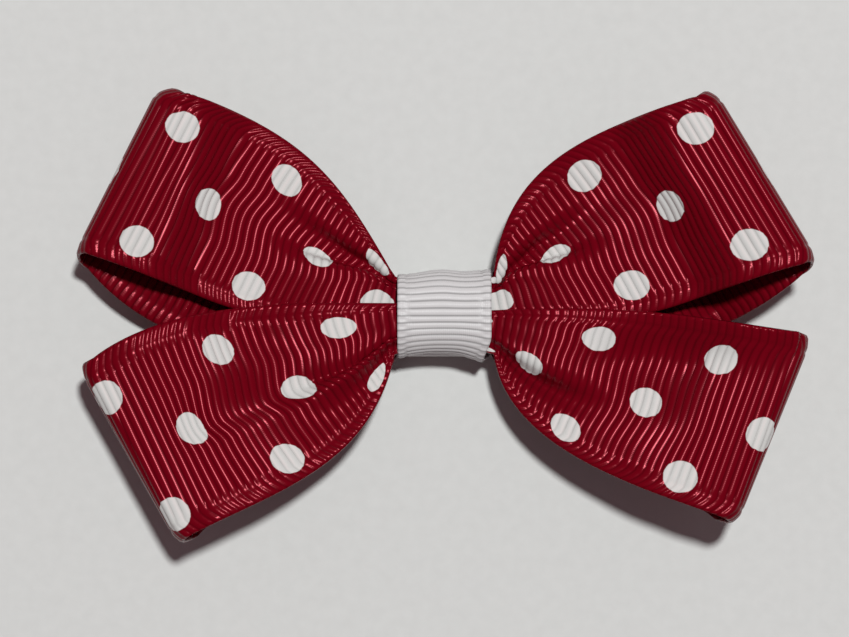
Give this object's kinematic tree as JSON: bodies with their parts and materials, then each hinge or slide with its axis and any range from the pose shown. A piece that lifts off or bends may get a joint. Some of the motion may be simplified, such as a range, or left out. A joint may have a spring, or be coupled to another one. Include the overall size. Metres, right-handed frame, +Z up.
{
  "type": "hair bow",
  "caption": "Flat-lying grosgrain hair bow with four pinched dotted loops and a white centre wrap, fixed to a sprung alligator hair clip.",
  "frame": {"origin": "on the surface the bow lies on, under the middle of its bounding box", "axes": "+X along the bow's width towards the clip's handles, +Y towards the upper loops, +Z up out of the bow's face"},
  "size_m": [0.0811, 0.0501, 0.0158],
  "materials": {
    "red_grosgrain": "ribbed grosgrain with printed pale dots outside",
    "red_grosgrain_lower": "ribbed grosgrain with printed pale dots outside",
    "white_grosgrain": "ribbed grosgrain",
    "thread": "spun thread",
    "hot_glue": "set hot-melt glue",
    "plated_steel": "nickel plated",
    "plated_steel_jaw": "nickel plated",
    "pin_steel": "drawn",
    "spring_steel": "drawn wire"
  },
  "bodies": {
    "bow": {"upper_ribbon": "red_grosgrain", "lower_ribbon": "red_grosgrain_lower", "centre_wrap": "white_grosgrain", "gathering_thread": "thread", "glue_pad": "hot_glue", "clip_top_jaw": "plated_steel", "hinge_pin": "pin_steel", "torsion_spring": "spring_steel"},
    "lower_jaw": {"clip_lower_jaw": "plated_steel_jaw"}
  },
  "joints": [
    {"name": "clip_hinge", "type": "hinge", "parent": "bow", "child": "lower_jaw", "pos_m": [0.014, 0, 0.0037], "axis": [0, -1, 0], "range_deg": [0, 22], "stiffness_Nm_per_rad": 0.05, "springref_deg": -17.19, "deforming": ["torsion_spring"]}
  ]
}
